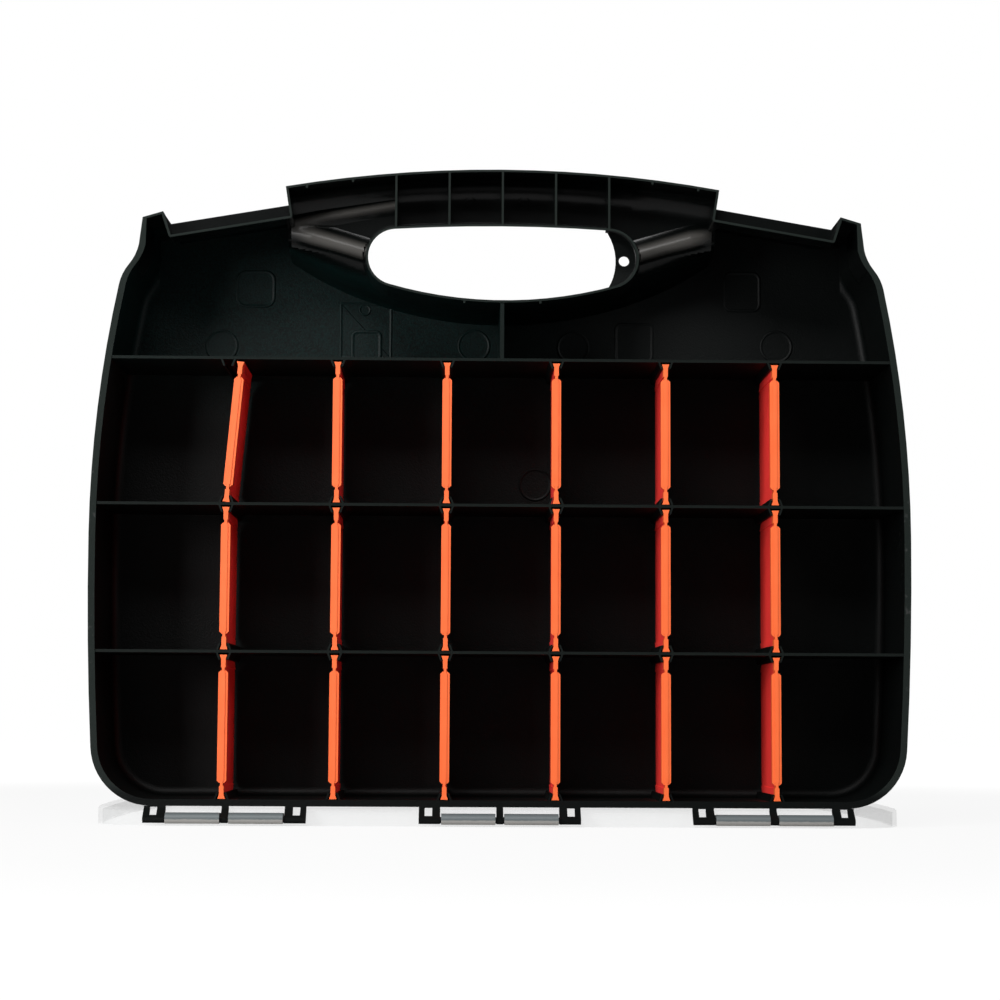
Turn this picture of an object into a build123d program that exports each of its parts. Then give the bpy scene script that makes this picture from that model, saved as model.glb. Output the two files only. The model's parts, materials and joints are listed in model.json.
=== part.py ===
from build123d import *
import os
from math import acos, atan2, cos, degrees, hypot, radians, sin, sqrt, tan

# Compartment organizer box, standing on its folded-back lid with its open side to the front.
# Row frame: X to the right, Y into the box, Z up, in millimetres. The origin lies on the floor,
# under the middle of the bounding box.
# Work frame, used by the functions below: y is the depth behind the rim of the case, and z is the
# height above the outer face of the hinge wall. The lid is drawn closed and then turned to its rest.

# Outline of the case, seen from the open side. Insets are from the widest place of the sides,
# and each rise is from the place named before it.
case_width = 460.0
widest_height = 150.8
lower_side_radius = 1942.0
upper_side_radius = 716.0
corner_radius = 34.0
shoulder_over_rows = 40.5
shoulder_rise = 23.0
horn_shoulder_inset = 24.7
horn_outer_inset = 26.5
horn_outer_rise = 38.5
horn_inner_inset = 38.0
horn_crest = 3.5
recess_outer_inset = 42.5
recess_outer_rise = 28.5
recess_climb = 11.5
handle_end_x = 123.0
handle_end_rise = 17.0
handle_end_lean = 2.6
handle_crown_rise = 10.7

# Depths of the case
case_depth = 66.0
floor_thickness = 2.0
recess_depth = 14.0
ledge_width = 9.3
handle_depth = 29.0
handle_back_radius = 13.0
floor_fillet = 5.0
back_chamfer = 4.0

# Walls
thin_wall = 1.3
rim_width = 3.7
rim_band_depth = 6.0
rim_overhang = 2.1

# Opening for the hand
opening_half_width = 76.0
opening_end_radius = 16.0
opening_rise = 17.0
opening_top_bulge = 1.93
opening_bottom_bulge = 8.4
opening_lift = 4.5
opening_growth = 3.0

# Saddle between the deep floor of the case and the shallow floor of the handle
ridge_outer_rise = 16.6
ridge_via_x = 96.0
ridge_via_rise = 11.1
ridge_keel_drop = 8.0
saddle_root_drop = 40.4
saddle_lap = 5.0
saddle_shoulder = 8.0
saddle_steps = ((0.0, 1.0), (0.1, 0.55), (0.35, 0.15), (0.75, 0.0), (1.0, -0.15))

# Handle ribs and pips
handle_rib_pitch = 30.2
handle_rib_count = 5
handle_rib_thickness = 1.2
pip_width = 1.2
pip_proud = 1.4
pip_depth = 4.0
handle_pip_x = (85.0, 111.0)
opening_pip_x = 21.5

# Hang tab
hang_tab_depth = 7.0
hang_tab_thickness = 2.0
hang_tab_x = 64.6
hang_tab_radius = 31.0
hang_hole_x = 69.3
hang_hole_radius = 3.0

# Row walls, centre wall and slots
row_count = 3
row_clear = 80.8
row_wall_thickness = 1.6
row_wall_drop = 0.5
centre_wall_thickness = 2.2
column_count = 6
column_pitch = 61.55
slot_reach = 3.8
slot_base_gap = 3.1
slot_mouth_gap = 1.65
slot_rib_thickness = 1.1

# Dividers
divider_drop = 0.8
divider_height = 60.0
divider_length = 79.4
divider_seat_gap = 0.3
divider_thickness = 1.5
bar_length = 62.0
bar_width = 5.2
bar_depth = 3.6
bar_end_chamfer = 1.2
bar_strip_width = 2.4
bar_strip_height = 0.5
neck_thickness = 2.5
neck_length = 7.0
dovetail_width = 4.1
dovetail_length = 2.4
divider_corner_cut = 9.0
askew_row = 2
askew_column = 0
askew_lean = 5.0

# Hinge
hinge_below_case = 7.0
hinge_before_rim = 4.2
rod_radius = 1.8
hinge_group_inset = 78.5
end_bracket_width = 11.8
end_bracket_outer_arm = 3.2
end_bracket_hole = 4.2
end_bracket_hole_top = 0.5
middle_bracket_width = 3.8
bracket_gap = 0.6
bracket_nose_radius = 2.1
bracket_neck = 2.5
knuckle_length = 29.8
knuckle_radius = 3.65
knuckle_bore_clearance = 0.05
knuckle_mouth_half_angle = 50.0
knuckle_web_low = 1.3
knuckle_web_high = 3.2

# Lid
lid_gap = 0.3
lid_height = 10.0
lid_panel_thickness = 2.0
lid_wall = 1.8
lid_side_wall = 2.4
lid_edge_chamfer = 1.1
foot_gap = 0.3
foot_length = 40.0
foot_width = 12.0
foot_inset = 70.0

# Latches
latch_side_gap = 5.05
latch_plate = 2.4
latch_stand_off = 2.0
latch_pin_depth = 5.0
latch_barrel_radius = 2.5
latch_pin_radius = 1.5
latch_pin_clearance = 0.06
lug_thickness = 3.0
lug_gap = 0.4
lug_radius = 3.1
lug_chamfer = 1.6
latch_end_gap = 0.6
latch_tab_width = 28.0
latch_tab_thickness = 2.0
latch_tab_reach = 3.0
catch_depth = 6.0
catch_length = 40.0
catch_proud = 1.4
catch_height = 1.5
hook_gap = 0.4
hook_height = 2.0
hook_clearance = 0.6
latch_floor_gap = 0.15

# Sizes worked out from the ones above
half_width = case_width / 2
inner_depth = case_depth - floor_thickness
bottom_wall_face = rim_width
shoulder_height = bottom_wall_face + row_count * (row_clear + row_wall_thickness) + shoulder_over_rows
horn_shoulder_x = half_width - horn_shoulder_inset
horn_outer_x = half_width - horn_outer_inset
horn_outer_height = shoulder_height + horn_outer_rise
horn_inner_x = half_width - horn_inner_inset
horn_inner_height = horn_outer_height + horn_crest
recess_outer_x = half_width - recess_outer_inset
recess_outer_height = shoulder_height + recess_outer_rise
recess_inner_x = handle_end_x - handle_end_lean
recess_inner_height = recess_outer_height + recess_climb
handle_end_height = recess_inner_height + handle_end_rise
handle_crown_height = handle_end_height + handle_crown_rise
opening_mid_height = shoulder_height + opening_rise
opening_end_x = opening_half_width - opening_end_radius
hinge_group_offset = half_width - hinge_group_inset
foot_x = half_width - foot_inset
hinge_height = hinge_before_rim - lid_gap
case_base_height = hinge_height + hinge_below_case
hinge_y = (knuckle_radius - hinge_below_case - handle_crown_height) / 2
rim_y = hinge_y + hinge_before_rim
lid_front = -lid_gap - lid_height
latch_pin_height = latch_stand_off + latch_plate / 2
knuckle_offset = (middle_bracket_width + knuckle_length) / 2 + bracket_gap
end_bracket_offset = knuckle_offset + knuckle_length / 2 + bracket_gap + end_bracket_width / 2

recess_run = recess_outer_x - recess_inner_x
latch_width = recess_run - 2 * latch_side_gap
recess_lean = atan2(recess_climb, recess_run)
recess_middle = (
    (recess_outer_x + recess_inner_x) / 2,
    (recess_outer_height + recess_inner_height) / 2,
)

place = Pos(0, rim_y, case_base_height)
hinge_line = Pos(0, -hinge_before_rim, -hinge_below_case)
lid_turn = hinge_line * Rot(X=-90) * hinge_line.inverse()


def slab(face, start, end):
    """A face drawn in x and height, as a solid between two depths."""
    return extrude(at_depth(face, start), amount=end - start, dir=(0, 1, 0))


def at_depth(face, depth):
    """A face drawn in x and height, stood up at a depth behind the rim."""
    return Plane(origin=(0, depth, 0), x_dir=(1, 0, 0), z_dir=(0, -1, 0)) * face


def block(x, y, z):
    """A box between pairs of limits along x, y and z."""
    size = [high - low for low, high in (x, y, z)]
    middle = [(high + low) / 2 for low, high in (x, y, z)]
    return Pos(*middle) * Box(*size)


def both_sides(edges):
    """A face from its right half, which starts and ends on the middle line."""
    curve = Curve() + edges
    return make_face(curve + mirror(curve, about=Plane.YZ))


def side_x(height, inset=0.0):
    """Half the width of the case at a height, on its two side arcs."""
    radius = upper_side_radius if height > widest_height else lower_side_radius
    reach = sqrt((radius - inset) ** 2 - (height - widest_height) ** 2)
    return half_width - radius + reach


def side_edges(inset):
    """The right side, from the middle of the hinge wall up to the shoulder."""
    arc_x = half_width - lower_side_radius
    reach = lower_side_radius - corner_radius
    corner_x = arc_x + sqrt(reach**2 - (widest_height - corner_radius) ** 2)
    radius = corner_radius - inset
    lean = atan2(corner_radius - widest_height, corner_x - arc_x)
    middle = (lean - radians(90)) / 2
    corner_end = (corner_x + radius * cos(lean), corner_radius + radius * sin(lean))
    corner_mid = (corner_x + radius * cos(middle), corner_radius + radius * sin(middle))
    low_mid = (corner_end[1] + widest_height) / 2
    high_mid = (widest_height + shoulder_height) / 2
    widest = (half_width - inset, widest_height)
    shoulder = (side_x(shoulder_height, inset), shoulder_height)
    return [
        Line((0, inset), (corner_x, inset)),
        ThreePointArc((corner_x, inset), corner_mid, corner_end),
        ThreePointArc(corner_end, (side_x(low_mid, inset), low_mid), widest),
        ThreePointArc(widest, (side_x(high_mid, inset), high_mid), shoulder),
    ]


def shoulder_edges(inset, top_height):
    """The shoulder and the outer side of the horn, up to a height."""
    shoulder = (side_x(shoulder_height, inset), shoulder_height)
    knee = (horn_shoulder_x - inset, shoulder_height + shoulder_rise)
    brow = (horn_outer_x - inset, top_height)
    halfway = ((shoulder[0] + knee[0]) / 2, (shoulder[1] + knee[1]) / 2)
    climb = shoulder_height - widest_height
    side_lean = atan2(-climb, sqrt((upper_side_radius - inset) ** 2 - climb**2))
    bend = 2 * atan2(knee[0] - shoulder[0], knee[1] - shoulder[1]) - side_lean
    return [
        TangentArc(shoulder, halfway, tangent=(sin(side_lean), cos(side_lean))),
        TangentArc(halfway, knee, tangent=(sin(bend), cos(bend))),
        Line(knee, brow),
    ]


def side_limit(inset):
    """The sides and the hinge wall, moved inwards, and open far above the case."""
    top = handle_crown_height + corner_radius
    edges = side_edges(inset) + shoulder_edges(inset, top)
    return both_sides(edges + [Line((horn_outer_x - inset, top), (0, top))])


def opening_arc(bulge):
    """Radius of a long arc that runs into both ends of the opening, and how far off its centre is."""
    beyond = (opening_end_x**2 + bulge**2) / (2 * bulge)
    return beyond + opening_end_radius, beyond - bulge


def saddle_height(x):
    """Height of the arc that the opening's lower edge lies on."""
    radius, centre = opening_arc(opening_bottom_bulge)
    return opening_mid_height + centre - sqrt(radius**2 - x**2)


def opening_face(grow):
    """The opening's outline, grown by an offset: four arcs that run into each other."""
    top_radius, top_drop = opening_arc(opening_top_bulge)
    bottom_radius, bottom_rise = opening_arc(opening_bottom_bulge)
    top_centre = opening_mid_height - top_drop
    bottom_centre = opening_mid_height + bottom_rise
    end = opening_end_radius + grow

    def touch(centre, side):
        away = hypot(opening_end_x, opening_mid_height - centre)
        x = opening_end_x * (1 + side * end / away)
        return x, opening_mid_height + side * end * (opening_mid_height - centre) / away

    top = touch(top_centre, 1)
    bottom = touch(bottom_centre, 1)
    crown = (0, top_centre + top_radius + grow)
    keel = (0, bottom_centre - bottom_radius - grow)
    tip = (opening_end_x + end, opening_mid_height)
    edges = [
        ThreePointArc((-top[0], top[1]), crown, top),
        ThreePointArc(top, tip, bottom),
        ThreePointArc(bottom, keel, (-bottom[0], bottom[1])),
        ThreePointArc((-bottom[0], bottom[1]), (-tip[0], tip[1]), (-top[0], top[1])),
    ]
    return make_face(Curve() + edges)


def opening_tool(grow):
    """The space of the hand opening. It widens and climbs behind the rim, as a rounded grip does."""
    wide = Pos(0, opening_lift) * opening_face(grow + opening_growth)
    sections = [at_depth(opening_face(grow), 0), at_depth(wide, handle_depth)]
    behind = slab(wide, handle_depth, case_depth + handle_depth)
    return slab(opening_face(grow), -lid_wall, 0) + loft(sections, ruled=True) + behind


def case_outline(ledge):
    """The box without its handle. The latch recess line moves out by the ledge width."""
    shift_x = ledge * sin(recess_lean)
    shift_z = ledge * cos(recess_lean)
    outer = (recess_outer_x + shift_x, recess_outer_height + shift_z)
    inner = (recess_inner_x + shift_x, recess_inner_height + shift_z)
    horn_outer = (horn_outer_x, horn_outer_height)
    horn_inner = (horn_inner_x, horn_inner_height)
    low = (inner[0], saddle_height(inner[0]) - saddle_lap)
    halfway = (inner[0] / 2, saddle_height(inner[0] / 2) - saddle_lap)
    keel = (0, saddle_height(0) - saddle_lap)
    edges = side_edges(0) + shoulder_edges(0, horn_outer_height)
    edges += Polyline(horn_outer, horn_inner, outer, inner, low).edges()
    return both_sides(edges + [ThreePointArc(low, halfway, keel)])


def handle_outline():
    """The handle's half of the rim, and below it a root that reaches into the box."""
    end = (handle_end_x, handle_end_height)
    rise = handle_crown_height - handle_end_height
    crown_radius = (handle_end_x**2 + rise**2) / (2 * rise)
    via_x = handle_end_x / 2
    via = (via_x, handle_crown_height - crown_radius + sqrt(crown_radius**2 - via_x**2))
    foot = (recess_inner_x, recess_inner_height)
    root_x = recess_inner_x + saddle_shoulder
    root_top = (root_x, recess_inner_height - saddle_shoulder * recess_climb / recess_run)
    root = opening_mid_height - saddle_root_drop
    edges = Polyline((0, root), (root_x, root), root_top, foot, end).edges()
    return both_sides(edges + [ThreePointArc(end, via, (0, handle_crown_height))])


def saddle_section(rise, reach):
    """One section of the saddle: its upper edge climbs from the floor's edge to the ridge."""
    ridge = [
        (0, opening_mid_height - ridge_keel_drop),
        (opening_end_x, opening_mid_height),
        (ridge_via_x, opening_mid_height + ridge_via_rise),
        (reach, opening_mid_height + ridge_outer_rise),
    ]
    right = [(x, saddle_height(x) + rise * (top - saddle_height(x))) for x, top in ridge]
    left = [(-x, height) for x, height in reversed(right[1:])]
    root = opening_mid_height - saddle_root_drop
    sides = Polyline(left[0], (-reach, root), (reach, root), right[-1])
    return make_face(Curve() + [sides, Spline(*left, *right)])


def saddle(inset):
    """The saddle, lofted from the back of the handle down to the floor, moved in by an inset."""
    run = case_depth - handle_depth
    reach = recess_inner_x + ledge_width * sin(recess_lean) + inset
    sections = [
        at_depth(saddle_section(rise, reach), handle_depth + run * share)
        for share, rise in saddle_steps
    ]
    form = Pos(0, -inset, -inset) * loft(sections)
    floor = case_depth if inset == 0 else inner_depth
    return form & block((-case_width, case_width), (0, floor), (0, handle_crown_height))


def outer_edges(solid, depth):
    """The edges of a solid that lie at a depth, on the hinge wall, the corners and the sides."""
    top = shoulder_height - corner_radius
    at = solid.edges().filter_by_position(Axis.Y, depth - 0.01, depth + 0.01)
    return at.filter_by(lambda e: e.center().Z < top)


def handle_bar(inset):
    """The half grip, with a rounded back."""
    face = handle_outline() if inset == 0 else offset(handle_outline(), amount=-inset)
    back = handle_depth - inset
    bar = slab(face, 0 if inset == 0 else -lid_wall, back)
    crown = bar.edges().filter_by_position(Axis.Y, back - 0.01, back + 0.01).sort_by(Axis.Z)[-1:]
    return fillet(crown, handle_back_radius - inset)


def case_outside():
    """The outer form of the case: rim band, box, saddle and half grip, without the opening."""
    front = case_outline(0)
    narrow = side_limit(rim_overhang)
    box = slab(case_outline(ledge_width) & narrow, recess_depth, case_depth)
    box = chamfer(outer_edges(box, case_depth), back_chamfer)
    box += slab(front & narrow, rim_band_depth, recess_depth)
    box += slab(front, 0, rim_band_depth)
    return box + handle_bar(0) + saddle(0) - opening_tool(0)


def case_inside():
    """The hollow of the case, by the same steps as its outer form."""
    limit = side_limit(rim_width)
    front = offset(case_outline(0), amount=-thin_wall) & limit
    behind = offset(case_outline(ledge_width), amount=-thin_wall) & limit
    hollow = slab(behind, recess_depth + thin_wall, inner_depth)
    hollow += slab(front, -lid_wall, recess_depth + thin_wall)
    hollow = fillet(outer_edges(hollow, inner_depth), floor_fillet)
    return hollow + handle_bar(thin_wall) + saddle(thin_wall) - opening_tool(thin_wall)


def handle_ribs(hollow):
    """Thin ribs across the half grip, over the opening."""
    half = handle_rib_thickness / 2
    low = opening_mid_height
    ribs = []
    for n in range(handle_rib_count):
        x = (n - (handle_rib_count - 1) / 2) * handle_rib_pitch
        plate = block((x - half, x + half), (0, handle_depth), (low, handle_crown_height))
        ribs.append(plate & hollow)
    return ribs


def pips(hollow):
    """Short ribs just behind the rim, on the grip's outer wall and under the opening."""
    crown = handle_crown_height - thin_wall - pip_proud
    drop = handle_crown_height - handle_end_height
    half = pip_width / 2
    made = []
    for x in handle_pip_x:
        low = crown - drop * (x / handle_end_x) ** 2
        made.append(block((x - half, x + half), (0, pip_depth), (low, handle_crown_height)) & hollow)
    keel = saddle_height(opening_pip_x) - thin_wall - pip_proud
    reach = (opening_pip_x - half, opening_pip_x + half)
    made.append(block(reach, (0, pip_depth), (keel, opening_mid_height)) & hollow)
    return made + [mirror(pip, about=Plane.YZ) for pip in made]


def hang_tab():
    """The web across the right end of the opening, with the hole to hang the box by."""
    circle = Pos(hang_tab_x - hang_tab_radius, opening_mid_height) * Circle(hang_tab_radius)
    hole = Pos(hang_hole_x, opening_mid_height) * Circle(hang_hole_radius)
    lap = thin_wall / 2
    end = opening_face(lap) - circle - Pos(-opening_half_width, opening_mid_height) * Rectangle(
        2 * opening_half_width + 2 * opening_end_x, 4 * opening_end_radius
    )
    return slab(end - hole, hang_tab_depth, hang_tab_depth + hang_tab_thickness)


def recess_frame():
    """Middle of the right latch recess: x along the rim, y into the case, z outwards."""
    x, height = recess_middle
    return Pos(x, 0, height) * Rot(Y=degrees(recess_lean))


def catch_bead():
    """The bead that a latch hooks under, on the outer face of a recess wall."""
    half = catch_length / 2
    depths = (catch_depth, catch_depth + catch_height)
    return recess_frame() * block((-half, half), depths, (-thin_wall / 2, catch_proud))


def foot():
    """A standing foot behind the hinge wall, just clear of the folded lid."""
    sole = -(hinge_below_case - (lid_height - hinge_height)) + foot_gap
    back = case_depth - back_chamfer
    lap = rim_overhang + (rim_width - rim_overhang) / 2
    middle = foot_x
    reach = (middle - foot_length / 2, middle + foot_length / 2)
    return block(reach, (back - foot_width, back), (sole, lap))


def slot_ribs(x, face, side):
    """The two leaning ribs of one dovetail slot, on a wall face; side is 1 above it and -1 below."""
    tip = face + side * slot_reach
    lean = slot_base_gap - slot_mouth_gap
    rib = make_face(
        Polyline(
            (slot_base_gap, face),
            (slot_base_gap + slot_rib_thickness, face),
            (slot_base_gap + slot_rib_thickness - lean, tip),
            (slot_mouth_gap, tip),
            close=True,
        )
    )
    pair = rib + mirror(rib, about=Plane.YZ)
    return slab(Pos(x, 0) * pair, row_wall_drop, inner_depth)


def column_x(column):
    """Middle of a column of slots."""
    return (column - (column_count - 1) / 2) * column_pitch


def row_floor(row):
    """Height of the face that a row of dividers stands on. Row 0 is nearest to the hinge."""
    return bottom_wall_face + row * (row_clear + row_wall_thickness)


def row_wall(row, hollow):
    """The wall over a row of dividers, with its slot ribs."""
    low = row_floor(row) + row_clear
    high = low + row_wall_thickness
    wall = block((-half_width, half_width), (row_wall_drop, inner_depth), (low, high)) & hollow
    for column in range(column_count):
        wall += slot_ribs(column_x(column), low, -1)
        if row < row_count - 1:
            wall += slot_ribs(column_x(column), high, 1)
    return wall


def centre_wall(hollow):
    """The wall that parts the two top compartments, under the opening."""
    half = centre_wall_thickness / 2
    low = row_floor(row_count)
    return block((-half, half), (row_wall_drop, inner_depth), (low, opening_mid_height)) & hollow


def divider():
    """One divider: a thin plate with a dovetail rail at each end and a bar along its top."""
    half = divider_length / 2
    plate = divider_thickness / 2
    neck = neck_thickness / 2
    tail = dovetail_width / 2
    right = [
        (plate, 0),
        (plate, half - neck_length),
        (neck, half - neck_length),
        (neck, half - dovetail_length),
        (tail, half),
        (-tail, half),
        (-neck, half - dovetail_length),
        (-neck, half - neck_length),
        (-plate, half - neck_length),
        (-plate, 0),
    ]
    profile = make_face(Polyline(*right, close=True))
    profile += mirror(profile, about=Plane.XZ)
    bottom = divider_drop + divider_height
    body = slab(profile, divider_drop, bottom)
    corners = body.edges().filter_by(Axis.X).filter_by_position(Axis.Y, bottom - 0.1, bottom + 0.1)
    body = chamfer(corners.filter_by(lambda e: abs(abs(e.center().Z) - half) < 0.1), divider_corner_cut)
    bar = chamfer(Rectangle(bar_width, bar_length).vertices(), bar_end_chamfer)
    strip = Rectangle(bar_strip_width, bar_length - 2 * bar_end_chamfer)
    body += slab(bar, divider_drop + bar_strip_height, divider_drop + bar_depth)
    return body + slab(strip, divider_drop, divider_drop + bar_depth)


def divider_place(row, column):
    """Where a divider stands at rest. One leans, with its top end out of its slot."""
    half = divider_length / 2
    lean = askew_lean if (row, column) == (askew_row, askew_column) else 0
    seat = Pos(column_x(column), 0, row_floor(row) + divider_seat_gap)
    return seat * Rot(Y=lean) * Pos(0, 0, half)


def bracket(width):
    """A hinge bracket: a neck from the hinge wall to an eight-sided nose about the rod."""
    nose = bracket_nose_radius
    corner = nose * tan(radians(180 / 8))
    tip = [(nose, -corner), (corner, -nose), (-corner, -nose), (-nose, -corner), (-nose, corner)]
    low = [(y - hinge_before_rim, z - hinge_below_case) for y, z in tip]
    neck = [(0, -lid_gap - nose / 3), (0, 0), (bracket_neck, 0), (bracket_neck, -nose)]
    profile = make_face(Polyline(*low, *neck, close=True))
    return extrude(Plane.YZ * profile, amount=width / 2, both=True)


def end_bracket(side):
    """An outer bracket of a hinge group, with a square hole over its foot."""
    outer = end_bracket_width / 2 - end_bracket_outer_arm
    reach = sorted((side * outer, side * (outer - end_bracket_hole)))
    floor = bracket_nose_radius - hinge_below_case
    hole = block(reach, (-case_depth, case_depth), (floor, -end_bracket_hole_top))
    return Pos(side * end_bracket_offset) * (bracket(end_bracket_width) - hole)


def hinge(x):
    """One hinge group: three brackets and the rod that two knuckles of the lid turn on."""
    reach = end_bracket_offset + end_bracket_width / 2
    rod = hinge_line * Rot(Y=90) * Cylinder(rod_radius, 2 * reach - end_bracket_width)
    return Pos(x) * (end_bracket(-1) + bracket(middle_bracket_width) + end_bracket(1) + rod)


def knuckle(x):
    """One clip-fit knuckle of the lid, open towards the case, on its web."""
    half = knuckle_length / 2
    ring = hinge_line * Rot(Y=90) * Cylinder(knuckle_radius, knuckle_length)
    low, high = -hinge_before_rim - knuckle_web_high, -hinge_before_rim + knuckle_web_low
    web = block((-half, half), (low, high), (-hinge_below_case, 0))
    bore = hinge_line * Rot(Y=90) * Cylinder(rod_radius + knuckle_bore_clearance, knuckle_length)
    reach = 2 * knuckle_radius
    wide = reach * sin(radians(knuckle_mouth_half_angle))
    deep = reach * cos(radians(knuckle_mouth_half_angle))
    mouth = Pos(-hinge_before_rim, -hinge_below_case) * make_face(
        Polyline((0, 0), (deep, wide), (deep, -wide), close=True)
    )
    mouth = extrude(Plane.YZ * mouth, amount=half, both=True)
    return Pos(x) * (ring + web - bore - mouth)


def lid_lug(side):
    """A pivot lug of the lid, at one end of the right latch."""
    x = side * (latch_width / 2 + lug_gap + lug_thickness / 2)
    low = -latch_pin_height - lid_wall / 2
    corner = lug_radius - lug_chamfer
    right = [(lug_radius, low), (lug_radius, corner), (corner, lug_radius)]
    left = [(-across, up) for across, up in reversed(right)]
    cheek = make_face(Polyline(*right, *left, close=True))
    cheek -= Circle(latch_pin_radius + latch_pin_clearance)
    solid = extrude(Plane.YZ * cheek, amount=lug_thickness / 2, both=True)
    return recess_frame() * Pos(x, -lid_gap - latch_pin_depth, latch_pin_height) * solid


def lid():
    """The lid, drawn closed: panel, skirt, half grip with its opening, ribs and pivot lugs."""
    outline = case_outline(0) + handle_outline()
    back = -lid_gap
    under = lid_front + lid_panel_thickness
    body = slab(outline, lid_front, back)
    front = body.edges().filter_by_position(Axis.Y, lid_front - 0.01, lid_front + 0.01)
    body = chamfer(front, lid_edge_chamfer)
    body -= slab(opening_face(0), 2 * lid_front, 0)
    hollow = slab(offset(outline, amount=-lid_wall) & side_limit(lid_side_wall), under, 0)
    body -= hollow - slab(opening_face(lid_wall), under, 0)
    cavity = Pos(0, -under) * (hollow & slab(outline, under, back))
    opening = slab(opening_face(0), under, 0)
    ribs = [Pos(0, under) * rib - opening for rib in handle_ribs(cavity)]
    lugs = [lid_lug(side) for side in (-1, 1)]
    return body + ribs + lugs + [mirror(lug, about=Plane.YZ) for lug in lugs]


def latch():
    """The right latch, drawn closed: plate, barrel with its pins, finger tab and hook."""
    half = latch_width / 2
    pivot = (-lid_gap - latch_pin_depth, latch_pin_height)
    end = recess_depth - latch_end_gap
    inner = latch_stand_off
    outer = latch_stand_off + latch_plate
    plate = block((-half, half), (pivot[0], end), (inner, outer))
    ends = plate.edges().filter_by(Axis.Z).group_by(Axis.Y)[-1]
    body = fillet(ends, latch_plate)
    axle = Pos(0, *pivot) * Rot(Y=90)
    pin_length = latch_width + 2 * (lug_gap + lug_thickness)
    body += axle * Cylinder(latch_barrel_radius, latch_width)
    body += axle * Cylinder(latch_pin_radius, pin_length)
    tab = latch_tab_width / 2
    body += block((-tab, tab), (end - latch_tab_thickness, end), (inner, outer + latch_tab_reach))
    hook = catch_length / 2
    start = catch_depth + catch_height + hook_gap
    body += block((-hook, hook), (start, start + hook_height), (hook_clearance, inner + latch_plate / 2))
    return recess_frame() * body


def latch_turn():
    """Swings the right latch out from closed, until its hook is just over the floor."""
    deep = catch_depth + catch_height + hook_gap + hook_height + lid_gap + latch_pin_depth
    low = hook_clearance - latch_pin_height
    room = latch_pin_depth - latch_floor_gap
    turn = degrees(acos(room / hypot(deep, low)) - atan2(low, deep))
    pivot = recess_frame() * Pos(0, -lid_gap - latch_pin_depth, latch_pin_height)
    return pivot * Rot(X=turn) * pivot.inverse(), turn


def case_tub(outside, hollow):
    """The moulded case, with everything on it but the row walls and the hinges."""
    tub = outside - hollow
    extras = handle_ribs(hollow) + pips(hollow) + [hang_tab()]
    for pair in (catch_bead(), foot()):
        extras += [pair, mirror(pair, about=Plane.YZ)]
    for extra in extras:
        tub += extra
    for column in range(column_count):
        tub += slot_ribs(column_x(column), bottom_wall_face, 1)
    return tub


def build():
    """Every node of the box by name, in the row frame."""
    hollow = case_inside()
    nodes = {"case_tub": case_tub(case_outside(), hollow)}
    for row in range(row_count):
        nodes[f"row_wall_{row + 1}"] = row_wall(row, hollow)
    nodes["centre_wall"] = centre_wall(hollow)
    for name, x in (("left", -hinge_group_offset), ("centre", 0), ("right", hinge_group_offset)):
        nodes[f"hinge_{name}"] = hinge(x)
    blank = divider()
    for row in range(row_count):
        for column in range(column_count):
            nodes[f"divider_{row + 1}_{column + 1}"] = divider_place(row, column) * blank
    nodes["lid"] = lid_turn * lid()
    knuckles = [
        knuckle(group * hinge_group_offset + side * knuckle_offset)
        for group in (-1, 0, 1)
        for side in (-1, 1)
    ]
    nodes["lid_knuckles"] = lid_turn * Compound(children=knuckles)
    right = latch_turn()[0] * latch()
    nodes["latch_right"] = lid_turn * right
    nodes["latch_left"] = lid_turn * mirror(right, about=Plane.YZ)
    return {name: place * solid for name, solid in nodes.items()}


os.makedirs("parts", exist_ok=True)
for name, solid in build().items():
    export_step(solid, f"parts/{name}.step")
print("latch swing from closed to rest:", round(latch_turn()[1], 2), "degrees")
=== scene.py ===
# %% [markdown]
# # A compartment organizer box
#
# The real thing is a flat carry case, moulded in black plastic. Three thin walls part it into rows,
# and orange dividers slide into slots in those walls. A clear lid turns on two clip-fit knuckles
# at each of three hinges, and here it is folded right back, so that the open case stands on it.
# The construction comes in as a fixed frame. This file gives it its finishes, its small moulded
# marks, a camera and a studio.

# %% Load the frame
import json
from math import atan2, radians

import bpy
from mathutils import Euler, Matrix, Vector


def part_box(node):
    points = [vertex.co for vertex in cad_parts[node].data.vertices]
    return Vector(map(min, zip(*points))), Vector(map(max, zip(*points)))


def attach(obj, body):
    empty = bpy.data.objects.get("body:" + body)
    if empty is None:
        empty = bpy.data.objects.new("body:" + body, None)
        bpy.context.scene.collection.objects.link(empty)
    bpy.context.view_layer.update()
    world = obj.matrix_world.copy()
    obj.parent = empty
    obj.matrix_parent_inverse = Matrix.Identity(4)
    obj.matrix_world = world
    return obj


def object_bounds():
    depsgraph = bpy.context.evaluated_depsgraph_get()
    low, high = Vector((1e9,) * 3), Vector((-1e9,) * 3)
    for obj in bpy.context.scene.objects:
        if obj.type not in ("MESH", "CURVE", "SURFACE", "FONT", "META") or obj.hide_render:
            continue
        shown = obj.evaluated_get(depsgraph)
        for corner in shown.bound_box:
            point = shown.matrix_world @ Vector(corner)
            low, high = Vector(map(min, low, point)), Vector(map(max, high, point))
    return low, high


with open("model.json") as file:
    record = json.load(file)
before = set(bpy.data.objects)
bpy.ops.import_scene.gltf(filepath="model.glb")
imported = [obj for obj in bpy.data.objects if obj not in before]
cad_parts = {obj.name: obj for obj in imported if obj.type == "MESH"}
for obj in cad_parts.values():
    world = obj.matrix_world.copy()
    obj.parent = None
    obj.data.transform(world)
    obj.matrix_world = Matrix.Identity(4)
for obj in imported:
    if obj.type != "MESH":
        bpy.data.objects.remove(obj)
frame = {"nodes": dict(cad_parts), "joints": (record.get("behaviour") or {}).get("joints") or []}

model_low, model_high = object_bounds()
nodes = frame["nodes"]
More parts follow.
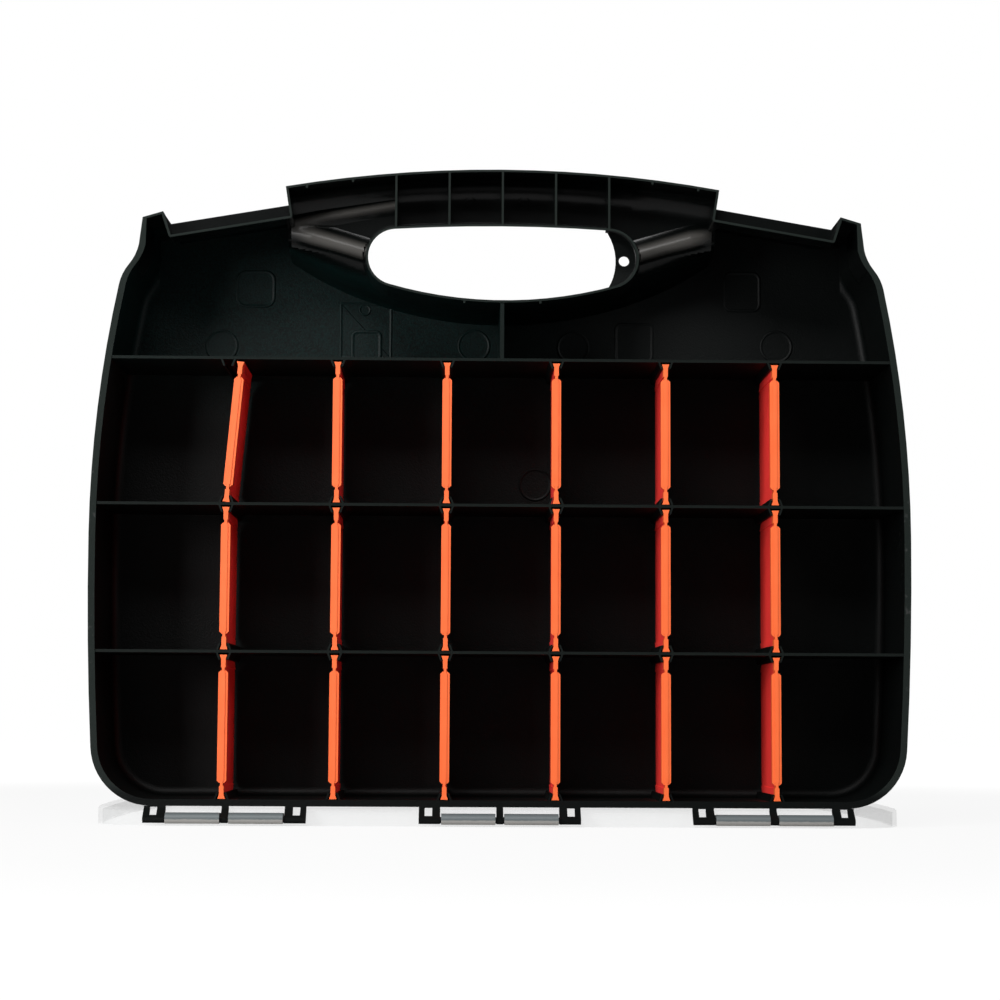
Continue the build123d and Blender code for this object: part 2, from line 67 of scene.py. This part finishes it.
dividers = sorted(name for name in nodes if name.startswith("divider"))
print("the box measures", [round(v, 4) for v in model_high - model_low], "m, with", len(nodes), "nodes")

# %% [markdown]
# ## The camera
#
# The photograph was taken from a little over a metre away, with a lens of about 82 mm on a full
# frame. The case seems to lean back by some five degrees, because the camera looks up at it.
# These sizes come from the outline of the case, whose straight and round parts are known.

# %% Make the camera
camera_place = Vector((-0.0235, -1.4490, 0.0586))
camera_tilt = 95.52
camera_roll = 0.295
camera_heading = -1.025
camera_lens = 82.19

camera_data = bpy.data.cameras.new("studio_camera")
camera_data.lens = camera_lens
camera_data.sensor_width = 36.0
camera = bpy.data.objects.new("studio_camera", camera_data)
heading = Euler((0, 0, radians(camera_heading))).to_matrix()
tilt = Euler((radians(camera_tilt), 0, 0)).to_matrix()
roll = Euler((0, 0, radians(camera_roll))).to_matrix()
camera.rotation_euler = (heading @ tilt @ roll).to_euler()
camera.location = camera_place
bpy.context.scene.collection.objects.link(camera)
bpy.context.scene.camera = camera
print("the camera stands", round((camera_place - model_low).length, 3), "m from the box's corner")

# %% [markdown]
# ## Writing materials as sums
#
# A procedural finish is mostly arithmetic on the place of a point: how far it is from a rim, how
# strong a noise is there. In the node editor each sum is a box with wires. Here a small class wraps
# a wire, so that a sum in Python makes those boxes, and one method makes every other node.


# %% Wires and finishes
class Wire:
    """An output of a node. Sums on it add Math nodes to its finish."""

    def __init__(self, finish, socket):
        self.finish = finish
        self.socket = socket

    def math(self, operation, *values):
        inputs = dict(enumerate(values))
        return self.finish.node("Math", {"operation": operation}, inputs)

    def __add__(self, other):
        return self.math("ADD", self, other)

    def __sub__(self, other):
        return self.math("SUBTRACT", self, other)

    def __rsub__(self, other):
        return self.math("SUBTRACT", other, self)

    def __mul__(self, other):
        return self.math("MULTIPLY", self, other)

    def __pow__(self, other):
        return self.math("POWER", self, other)

    def __abs__(self):
        return self.math("ABSOLUTE", self)

    __radd__ = __add__
    __rmul__ = __mul__

    def most(self, other):
        return self.math("MAXIMUM", self, other)

    def ramp(self, low, high):
        """0 below low, 1 above high, and a smooth step between them."""
        settings = {"interpolation_type": "SMOOTHSTEP"}
        return self.finish.node("MapRange", settings, {0: self, 1: low, 2: high})


class Finish:
    """A material in the making. Every node of it comes from node()."""

    def __init__(self, name):
        self.material = bpy.data.materials.new(name)
        self.material.use_nodes = True
        self.tree = self.material.node_tree
        self.tree.nodes.clear()

    def node(self, kind, settings=None, inputs=None, out=0):
        made = self.tree.nodes.new("ShaderNode" + kind)
        for name, value in (settings or {}).items():
            setattr(made, name, value)
        for name, value in (inputs or {}).items():
            if isinstance(value, Wire):
                self.tree.links.new(value.socket, made.inputs[name])
            else:
                made.inputs[name].default_value = value
        return Wire(self, made.outputs[out]) if made.outputs else None

    def place(self):
        """The point's x, y and z in the frame, in metres."""
        point = self.node("TexCoord", out="Object")
        made = self.node("SeparateXYZ", inputs={0: point}).socket.node
        return point, [Wire(self, made.outputs[axis]) for axis in range(3)]

    def noise(self, point, size, detail=2.0):
        """Noise between 0 and 1, with lumps of about that size in metres."""
        inputs = {"Vector": point, "Scale": 1.0 / size, "Detail": detail}
        return self.node("TexNoise", inputs=inputs)

    def mix(self, share, first, second):
        """A colour between two others."""
        settings = {"data_type": "RGBA"}
        return self.node("Mix", settings, {0: share, 6: first, 7: second}, out=2)

    def bump(self, height, depth):
        """A surface raised by up to depth metres where height is 1."""
        inputs = {"Height": height, "Distance": depth, "Strength": 1.0}
        return self.node("Bump", inputs=inputs)

    def plastic(self, inputs, over=None, share=0.0):
        """Ends the material in one plastic surface, or in two that a share mixes."""
        shader = self.node("BsdfPrincipled", inputs=inputs)
        if over is not None:
            second = self.node("BsdfPrincipled", inputs=over)
            shader = self.node("MixShader", inputs={0: share, 1: shader, 2: second})
        self.node("OutputMaterial", inputs={"Surface": shader})
        print("finish", self.material.name, "has", len(self.tree.nodes), "nodes")
        return self.material


class Sky(Finish):
    """The world in the making, with its nodes from the same method."""

    def __init__(self, name):
        self.world = bpy.data.worlds.new(name)
        self.world.use_nodes = True
        self.tree = self.world.node_tree
        self.tree.nodes.clear()


# %% [markdown]
# ## Black moulded plastic
#
# The case is one moulding in black polypropylene. Its floor and walls carry a fine spark-eroded
# grain, which swallows light, while its rim and grip are smoother and catch it. So two plastics are
# mixed by place: a dull, grained one for the inside, and a satin one for the rim, the grip and the
# outside. The colour isn't pure black: it is a very dark grey with a hint of green, and the outside
# has the pale scuffs of a case that is set down on workshop floors. A sheen is painted on: a paler
# grey-green on the grained inside towards the upper left, and a grey on the rim. A second version of
# the finish has a painted highlight, a pale grey, where the grip stands proud, and is duller there.


# %% The black finish
deep_black = (0.0007, 0.0014, 0.0013, 1.0)
painted_sheen_grey = (0.0022, 0.0120, 0.0112, 1.0)
satin_black = (0.0010, 0.0016, 0.0015, 1.0)
rim_painted_sheen = (0.0100, 0.0135, 0.0120, 1.0)
scuff_grey = (0.028, 0.029, 0.028, 1.0)
painted_highlight_grey = (0.056, 0.053, 0.049, 1.0)
rim_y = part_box("case_tub")[0].y
floor_y = rim_y + 0.064
grip_floor_y = rim_y + 0.0277
grain_size = 0.0009
flow_size = 0.03
scuff_size = 0.0035
grained_roughness = 0.44
grained_gloss = 0.12
grained_bump = 0.00016
smooth_roughness = 0.22
smooth_gloss = 0.28
smooth_bump = 0.00002
# Each band is where a smooth step starts and where it ends.
rim_band = (0.0002, 0.0010)
base_band = (0.016, 0.024)
grip_height_band = (0.308, 0.318)
grip_depth_band = (0.031, 0.037)
back_band = (0.0647, 0.0657)
side_band = (0.2255, 0.2275)
scuff_band = (0.60, 0.72)
scuffed_flow_band = (0.45, 0.65)
pale_side_band = (-0.03, 0.07)
pale_height_band = (0.19, 0.30)
pale_grain_band = (0.25, 0.75)
painted_highlight_band = (0.0008, 0.0042)


def black_plastic(name, highlight_share):
    """The black finish; highlight share 1 paints a highlight where the grip stands proud, and dulls it.
    """
    finish = Finish(name)
    point, (x, y, z) = finish.place()
    depth = y - rim_y
    grain = finish.noise(point, grain_size, 3.0)
    flow = finish.noise(point, flow_size)
    rim = 1 - depth.ramp(*rim_band)
    grip = z.ramp(*grip_height_band) * (1 - depth.ramp(*grip_depth_band))
    outside = depth.ramp(*back_band).most(abs(x).ramp(*side_band))
    satin = (rim * z.ramp(*base_band)).most(grip).most(outside)
    specks = finish.noise(point, scuff_size, 6.0).ramp(*scuff_band)
    scuffs = specks * flow.ramp(*scuffed_flow_band) * outside
    # Painted sheen: the grained inside is paler towards the upper left, speckled by the grain.
    pale = (1 - x.ramp(*pale_side_band)) * z.ramp(*pale_height_band) * grain.ramp(*pale_grain_band)
    # Painted highlight: a pale grey where the grip stands proud, with a higher roughness there.
    painted_highlight = highlight_share * (grip_floor_y - y).ramp(*painted_highlight_band)
    # The rim's grey is a painted sheen.
    plain = finish.mix(scuffs, finish.mix(rim, satin_black, rim_painted_sheen), scuff_grey)
    grained = {
        "Base Color": finish.mix(pale, deep_black, painted_sheen_grey),
        "Roughness": grained_roughness + 0.10 * flow,
        "Normal": finish.bump(grain, grained_bump),
        "Specular IOR Level": grained_gloss,
    }
    smooth = {
        "Base Color": finish.mix(painted_highlight, plain, painted_highlight_grey),
        "Roughness": smooth_roughness + 0.16 * painted_highlight + 0.05 * flow + 0.25 * scuffs,
        "Normal": finish.bump(grain, smooth_bump),
        "Specular IOR Level": smooth_gloss,
    }
    return finish.plastic(grained, smooth, satin)


case_finish = black_plastic("black_plastic", 0.0)
painted_highlight_finish = black_plastic("black_plastic_painted_highlight", 1.0)

# %% [markdown]
# ## Orange dividers
#
# The dividers are moulded in a bright orange of the same plastic, with a smoother, satin surface.
# The mould leaves faint flow lines. Below the bar along their front edge the dividers are painted a
# redder shade, which stands in for the light that bounces from one to the next; the latches lie in
# the open and aren't.

# %% The orange finish
orange = (0.80, 0.140, 0.033, 1.0)
deep_orange = (0.77, 0.110, 0.021, 1.0)
shaded_orange = (0.80, 0.036, 0.030, 1.0)
flow_line_size = 0.012
skin_size = 0.0006
skin_bump = 0.00003
shade_band = (0.0044, 0.0084)


def orange_plastic(name, roughness, shade):
    """The orange finish; shade of 1 paints a redder shade on what lies deeper than the bars."""
    finish = Finish(name)
    point, (x, y, z) = finish.place()
    flow = finish.noise(point, flow_line_size)
    grain = finish.noise(point, skin_size)
    # Painted shade: redder below the bars, for the light bounced between dividers.
    below = shade * (y - rim_y).ramp(*shade_band)
    colour = finish.mix(below, finish.mix(flow, orange, deep_orange), shaded_orange)
    rough = roughness + 0.1 * grain
    skin = finish.bump(grain, skin_bump)
    return finish.plastic({"Base Color": colour, "Roughness": rough, "Normal": skin, "IOR": 1.49})


divider_finish = orange_plastic("orange_divider", 0.42, 1.0)
latch_finish = orange_plastic("orange_latch", 0.28, 0.0)

# %% [markdown]
# ## The clear lid and its knuckles
#
# The lid is clear plastic. Seen edge-on against a white studio it all but vanishes, and only its
# thick knuckles, with the black rod inside them, look grey. Their grey is painted: a darker painted
# shade above, for the black case behind them, and a paler grey below.

# %% The clear finishes
clear_tint = (0.60, 0.62, 0.62, 1.0)
knuckle_painted_dark = (0.088, 0.103, 0.107, 1.0)
knuckle_painted_pale = (0.262, 0.256, 0.244, 1.0)
hinge_z = frame["joints"][0]["pos_m"][2]
ripple_size = 0.02
ripple_bump = 0.0001
clear_alpha = 0.09
ripple_alpha = 0.05
edge_loss = 0.92
edge_band = (-0.004, 0.006)
haze_size = 0.0025
haze_bump = 0.0001
haze_shift = 0.0006
split_band = (-0.0002, 0.0008)
knuckle_roughness = 0.46
knuckle_gloss = 0.3


def clear_plastic():
    finish = Finish("clear_lid")
    point, (x, y, z) = finish.place()
    ripple = finish.noise(point, ripple_size)
    edge = 1 - (y - rim_y).ramp(*edge_band)
    alpha = (clear_alpha + ripple_alpha * ripple) * (1 - edge_loss * edge)
    skin = finish.bump(ripple, ripple_bump)
    inputs = {"Base Color": clear_tint, "Roughness": 0.08, "Alpha": alpha, "Normal": skin, "IOR": 1.5}
    return finish.plastic(inputs)


def knuckle_plastic():
    finish = Finish("frosted_knuckle")
    point, (x, y, z) = finish.place()
    haze = finish.noise(point, haze_size)
    # Painted shade: darker above the hinge line, for the black case behind, and paler below.
    split = (z - hinge_z + haze_shift * haze).ramp(*split_band)
    colour = finish.mix(split, knuckle_painted_pale, knuckle_painted_dark)
    skin = finish.bump(haze, haze_bump)
    inputs = {"Base Color": colour, "Roughness": knuckle_roughness, "Normal": skin}
    inputs["Specular IOR Level"] = knuckle_gloss
    return finish.plastic(inputs)


lid_finish = clear_plastic()
knuckle_finish = knuckle_plastic()

# %% Put each finish on its pieces
finishes = {"lid": lid_finish, "lid_knuckles": knuckle_finish}
finishes.update({name: divider_finish for name in dividers})
finishes.update({name: latch_finish for name in ("latch_left", "latch_right")})
for name, piece in nodes.items():
    piece.data.materials.clear()
    piece.data.materials.append(finishes.get(name, case_finish))
print("finishes given to", len(nodes), "nodes")

# %% [markdown]
# ## Marks of the mould
#
# Ejector pins push a moulding out of its tool, and each leaves a round mark on the floor. Inserts
# in the tool leave rounded squares, here kept blank. They stand about half a millimetre proud.
# A disc and a rounded plate are modelled with a border that four insets make: up, along, down, and
# a last narrow one that keeps the middle flat when the edges are shaded round. Discs are copied.

# %% Helpers for modelling by hand
mark_height = 0.0001
border_rise = 0.0004
smooth_angle = radians(50)
upright = (radians(90), 0, 0)


def start_edit(piece, pick=None):
    """Goes into edit mode on one piece, with the faces that pick chooses, or all of them."""
    bpy.ops.object.select_all(action="DESELECT")
    piece.select_set(True)
    bpy.context.view_layer.objects.active = piece
    bpy.ops.object.transform_apply(location=True, rotation=True, scale=True)
    bpy.ops.object.mode_set(mode="EDIT")
    bpy.ops.mesh.select_mode(type="FACE")
    bpy.ops.mesh.select_all(action="SELECT" if pick is None else "DESELECT")
    if pick is not None:
        bpy.ops.object.mode_set(mode="OBJECT")
        for face in piece.data.polygons:
            face.select = pick(face)
        bpy.ops.object.mode_set(mode="EDIT")


def end_edit(piece, name, finish, body):
    """Leaves edit mode, with smooth faces, a finish and a body to ride on."""
    bpy.ops.mesh.select_all(action="SELECT")
    bpy.ops.mesh.normals_make_consistent(inside=False)
    bpy.ops.object.mode_set(mode="OBJECT")
    bpy.ops.object.shade_smooth_by_angle(angle=smooth_angle)
    piece.name = name
    piece.data.materials.append(finish)
    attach(piece, body)
    return piece


def front_face(face):
    return face.normal.y < -0.9


def add_border(width):
    """Raises a rounded border round the chosen front face, whose middle stays low and flat."""
    bpy.ops.mesh.inset(thickness=border_rise, depth=border_rise)
    bpy.ops.mesh.inset(thickness=width, depth=0.0)
    bpy.ops.mesh.inset(thickness=border_rise, depth=-border_rise)
    bpy.ops.mesh.inset(thickness=border_rise, depth=0.0)


def copy_piece(piece, name, offset, body):
    """A copy with its own mesh, moved by an offset."""
    made = piece.copy()
    made.data = piece.data.copy()
    made.name = name
    made.data.transform(Matrix.Translation(offset))
    bpy.context.scene.collection.objects.link(made)
    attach(made, body)


# %% Round pin marks on the floor and in the grip
pin_radius = 0.0098
grip_pin_radius = 0.0037
insert_pin_radius = 0.0036
pin_border_share = 0.07
first_pin = Vector((-0.1643, floor_y, 0.2780))
first_grip_pin = Vector((-0.0185, grip_floor_y, 0.3570))
grip_pin_step = (0.0313, 0, 0.0004)
insert_pin = Vector((-0.0801, floor_y - mark_height, 0.3002))
pin_places = {
    "pin_mark_2": (-0.0155, 0.2792),
    "pin_mark_3": (0.0432, 0.2785),
    "pin_mark_4": (0.1637, 0.2800),
    "pin_mark_5": (0.0210, 0.1968),
}


def pin_mark(name, place, radius):
    """A round mark with a border, its lower half sunk in the floor."""
    bpy.ops.object.select_all(action="DESELECT")
    bpy.ops.mesh.primitive_cylinder_add(
        vertices=48, radius=radius, depth=2 * mark_height, location=place, rotation=upright
    )
    piece = bpy.context.object
    start_edit(piece, front_face)
    add_border(pin_border_share * radius)
    return end_edit(piece, name, case_finish, "case")


pin = pin_mark("pin_mark_1", first_pin, pin_radius)
for name, (x, z) in pin_places.items():
    copy_piece(pin, name, Vector((x, floor_y, z)) - first_pin, "case")
grip_pin = pin_mark("grip_pin_mark_1", first_grip_pin, grip_pin_radius)
copy_piece(grip_pin, "grip_pin_mark_2", grip_pin_step, "case")
pin_mark("insert_pin_mark", insert_pin, insert_pin_radius)
print("pin marks:", len(pin_places) + 4)

# %% Rounded squares where the tool has its inserts
# Each has its place along x and z, its width and height, its corner radius and its border.
insert_marks = {
    "insert_mark_1": ((-0.1448, 0.3123), (0.0235, 0.0225), 0.006, 0.0009),
    "insert_mark_2": ((0.1436, 0.3129), (0.0225, 0.0245), 0.005, 0.0009),
    "insert_mark_3": ((0.0793, 0.2818), (0.0231, 0.0238), 0.004, 0.0008),
    "insert_plate": ((-0.0794, 0.2876), (0.0311, 0.0339), 0.0015, 0.0006),
}
corner_segments = 6


def plate_mark(name, place, size, corner, border, under=0.0):
    """A rounded plate with a border, on the floor of the case or on what lies under it."""
    spot = (place[0], floor_y - under, place[1])
    bpy.ops.object.select_all(action="DESELECT")
    bpy.ops.mesh.primitive_plane_add(size=1.0, location=spot, rotation=upright)
    piece = bpy.context.object
    piece.scale = (size[0], size[1], 1.0)
    start_edit(piece)
    bpy.ops.mesh.bevel(offset=corner, segments=corner_segments, affect="VERTICES")
    bpy.ops.mesh.extrude_region_move(TRANSFORM_OT_translate={"value": (0, -mark_height, 0)})
    bpy.ops.mesh.select_all(action="SELECT")
    bpy.ops.mesh.normals_make_consistent(inside=False)
    bpy.ops.object.mode_set(mode="OBJECT")
    start_edit(piece, front_face)
    add_border(border)
    return end_edit(piece, name, case_finish, "case")


for name, measures in insert_marks.items():
    plate_mark(name, *measures)
plate_mark("insert_mark_4", (-0.0790, 0.2787), (0.0185, 0.0190), 0.004, 0.0012, mark_height)
print("insert marks:", len(insert_marks) + 1)

# %% [markdown]
# ## The bead round the hanging tab
#
# A thin tab with a hole closes one end of the hand opening. Where it meets the wall of the opening,
# the frame has a narrow gap, and the moulding a small rounded bead, which covers it. The bead is a
# torus, cut off where the tab ends, and closed.

# %% The bead of the hanging tab
bead_middle = Vector((0.060, rim_y + 0.0081, 0.3205))
bead_radius = 0.01645
bead_thickness = 0.00125
bead_left = 0.0012
bead_low = 0.0152
bpy.ops.object.select_all(action="DESELECT")
bpy.ops.mesh.primitive_torus_add(
    major_radius=bead_radius,
    minor_radius=bead_thickness,
    major_segments=96,
    minor_segments=12,
    location=bead_middle,
    rotation=upright,
)
tab_bead = bpy.context.object
start_edit(tab_bead)
for reach, axis in ((bead_left, Vector((1, 0, 0))), (bead_low, Vector((0, 0, 1)))):
    bpy.ops.mesh.select_all(action="SELECT")
    bpy.ops.mesh.bisect(plane_co=bead_middle - reach * axis, plane_no=axis, clear_inner=True)
bpy.ops.mesh.select_all(action="SELECT")
bpy.ops.mesh.fill_holes(sides=0)
end_edit(tab_bead, "hang_tab_bead", case_finish, "case")
print("bead of the hanging tab has", len(tab_bead.data.polygons), "faces")

# %% [markdown]
# ## Swellings in the grip
#
# At each end of the grip a soft, broad swelling runs in from the corner of the latch recess, down to
# the end of the hand opening, and on the left a slim one runs up towards the first rib. They catch
# the brightest light on the case. They have no edge, so a bar on the floor would look stuck on.
# A fine grid is pushed forward by a bell curve about each line instead, and its border sinks away.

# %% The swellings
swell_low, swell_high = Vector((-0.1214, 0.3150)), Vector((-0.0612, 0.3600))
hand_end = Vector((-0.060, 0.3236))
hand_end_radius = 0.0200
ridge_points = ((-0.122, 0.3346), (-0.096, 0.3291), (-0.060, 0.3180))
swell_cells = (76, 54)
swell_start = 0.35
swell_growth = 2.2
bell_base = 2.718
flat_drop = 0.0004
ridge_drop = 0.0013
ridge_blend = 0.003
ridge_reach = 0.004
shell_thickness = 0.0004
# Each line has its start, its end, the width of its bell and its height.
broad_and_slim = (
    (Vector((-0.1235, 0.3402)), Vector((-0.0760, 0.3262)), 0.0056, 0.0052),
    (Vector((-0.1225, 0.3441)), Vector((-0.0600, 0.3548)), 0.0035, 0.0040),
)


def bell(place, start, end, width, height):
    """Height at a place of a swelling along the line from start to end."""
    along = end - start
    share = min(max((place - start).dot(along) / along.length_squared, 0.0), 1.0)
    away = (place - start - share * along).length / width
    return height * min(1.0, swell_start + swell_growth * share) * bell_base ** (-away * away)


def ridge_height(x):
    """Height at which the floor of the grip turns down to the floor of the case."""
    (x0, z0), (x1, z1), (x2, z2) = ridge_points
    if x < x1:
        return z0 + (z1 - z0) * (x - x0) / (x1 - x0)
    return z1 + (z2 - z1) * (x - x1) / (x2 - x1)


def swelling(name, side, lines):
    """The swellings of one end of the grip; side is 1 on the left and -1 on the right."""
    size = swell_high - swell_low
    middle = (swell_high + swell_low) / 2
    bpy.ops.object.select_all(action="DESELECT")
    bpy.ops.mesh.primitive_grid_add(
        x_subdivisions=swell_cells[0],
        y_subdivisions=swell_cells[1],
        size=1.0,
        location=(middle.x, grip_floor_y, middle.y),
        rotation=upright,
    )
    piece = bpy.context.object
    piece.scale = (size.x, size.y, 1)
    bpy.ops.object.transform_apply(location=True, rotation=True, scale=True)
    for point in piece.data.vertices:
        place = Vector((point.co.x, point.co.z))
        sunk = min(max(ridge_height(place.x) - place.y, 0.0) / ridge_blend, 1.0) * ridge_drop
        point.co.y += sunk + flat_drop - sum(bell(place, *line) for line in lines)

    def beyond(face):
        place = Vector((face.center.x, face.center.z))
        near_hand = (place - hand_end).length < hand_end_radius
        return near_hand or place.y < ridge_height(place.x) - ridge_reach

    start_edit(piece, beyond)
    bpy.ops.mesh.delete(type="FACE")
    bpy.ops.object.mode_set(mode="OBJECT")
    shell = piece.modifiers.new("shell", "SOLIDIFY")
    shell.thickness = shell_thickness
    shell.offset = -1.0
    bpy.ops.object.modifier_apply(modifier=shell.name)
    if side < 0:
        piece.data.transform(Matrix.Scale(-1, 4, (1, 0, 0)))
    start_edit(piece)
    # The swellings take the finish with the painted highlight.
    return end_edit(piece, name, painted_highlight_finish, "case")


swelling("grip_swelling_left", 1, broad_and_slim)
right_swelling = swelling("grip_swelling_right", -1, broad_and_slim[:1])
print("the right swelling has", len(right_swelling.data.polygons), "faces")

# %% [markdown]
# ## Finger ribs on the latches
#
# Each latch has a lip that a finger pulls on, and fine ribs across its plate that keep the finger
# from sliding. A rib is a bar with all its edges rounded. It is modelled where the closed latch of
# the drawing has it, and then carried with the same turns as the latch: its own swing, and the
# quarter turn of the lid.

# %% The finger ribs
case_base = 0.0109
hinge_line = Matrix.Translation((0, -0.0042, -0.0070))
latch_middle = (0.15395, 0, 0.32565)
latch_lean = atan2(0.0115, 0.0671)
latch_pin = Matrix.Translation((0, -0.0053, 0.0032))
latch_swing = 81.38
rib_size = (0.034, 0.0009, 0.0008)
rib_places = (0.0035, 0.0052, 0.0069, 0.0086)
latch_face = 0.0044
rib_bevel = 0.0003


def turn(degree, axis):
    return Matrix.Rotation(radians(degree), 4, axis)


case_place = Matrix.Translation((0, rim_y, case_base))
lid_turn = hinge_line @ turn(-90, "X") @ hinge_line.inverted()
latch_frame = Matrix.Translation(latch_middle) @ Matrix.Rotation(latch_lean, 4, "Y")
swing = latch_pin @ turn(latch_swing, "X") @ latch_pin.inverted()
latch_place = case_place @ lid_turn @ latch_frame @ swing
for side, mirror in (("right", Matrix.Identity(4)), ("left", Matrix.Scale(-1, 4, (1, 0, 0)))):
    for number, along in enumerate(rib_places):
        bpy.ops.object.select_all(action="DESELECT")
        bpy.ops.mesh.primitive_cube_add(size=1.0, location=(0, along, latch_face))
        rib = bpy.context.object
        rib.scale = rib_size
        start_edit(rib)
        bpy.ops.mesh.bevel(offset=rib_bevel, segments=3, affect="EDGES")
        end_edit(rib, f"latch_{side}_rib_{number + 1}", latch_finish, f"latch_{side}")
        rib.data.transform(mirror @ latch_place)
        if side == "left":
            rib.data.flip_normals()
print("finger ribs:", 2 * len(rib_places))

# %% [markdown]
# ## The studio
#
# A wide, pale floor, a large soft lamp over the camera, a second one from the left, and a weak one
# from the right. The white of the background is the colour of the floor and of the world as the
# camera sees them, so that no extra light is needed to make them white.

# %% The floor
floor_size = 8.0
floor_grey = (0.36, 0.36, 0.36, 1.0)
pure_white = (1.0, 1.0, 1.0, 1.0)
floor_glow = 1.06
near_share = 0.86
far_band = (0.5, 1.1)
bpy.ops.object.select_all(action="DESELECT")
bpy.ops.mesh.primitive_plane_add(size=floor_size, location=(0, 0, model_low.z))
floor = bpy.context.object
floor.name = "studio_floor"


def studio_white():
    finish = Finish("studio_white")
    point, (x, y, z) = finish.place()
    away = (x * x + y * y) ** 0.5
    rays = finish.node("LightPath").socket.node
    seen = Wire(finish, rays.outputs["Is Camera Ray"])
    through = Wire(finish, rays.outputs["Is Transmission Ray"])
    share = near_share + (1 - near_share) * away.ramp(*far_band)
    matt = finish.node("BsdfDiffuse", inputs={"Color": floor_grey})
    white = finish.node("Emission", inputs={"Color": pure_white, "Strength": floor_glow})
    mixed = finish.node("MixShader", inputs={0: seen.most(through) * share, 1: matt, 2: white})
    finish.node("OutputMaterial", inputs={"Surface": mixed})
    return finish.material


floor.data.materials.append(studio_white())

# %% The lamps and the world
world_light = 0.04


def softbox(name, place, aim, size, power):
    """A large square lamp that faces a point."""
    lamp = bpy.data.lights.new(name, "AREA")
    lamp.size = size
    lamp.energy = power
    holder = bpy.data.objects.new(name, lamp)
    holder.location = place
    holder.rotation_euler = (Vector(aim) - Vector(place)).to_track_quat("-Z", "Y").to_euler()
    bpy.context.scene.collection.objects.link(holder)


box_middle = (model_low + model_high) / 2
softbox("lamp_over_camera", (-0.35, -1.45, 1.65), box_middle, 1.0, 38.0)
softbox("lamp_left", (-1.25, -1.3, 0.42), box_middle, 0.6, 24.0)
softbox("lamp_right", (1.5, -1.5, 0.9), box_middle, 0.8, 9.0)


def studio_world():
    """White to the camera, and all but dark to everything else."""
    sky = Sky("studio_world")
    rays = sky.node("LightPath").socket.node
    seen = Wire(sky, rays.outputs["Is Camera Ray"])
    dim = sky.node("Background", inputs={"Color": pure_white, "Strength": world_light})
    white = sky.node("Background", inputs={"Color": pure_white, "Strength": 1.0})
    either = sky.node("MixShader", inputs={0: seen, 1: dim, 2: white})
    sky.node("OutputWorld", inputs={"Surface": either})
    return sky.world


bpy.context.scene.world = studio_world()
bpy.context.scene.view_settings.view_transform = "Standard"
print("studio ready")
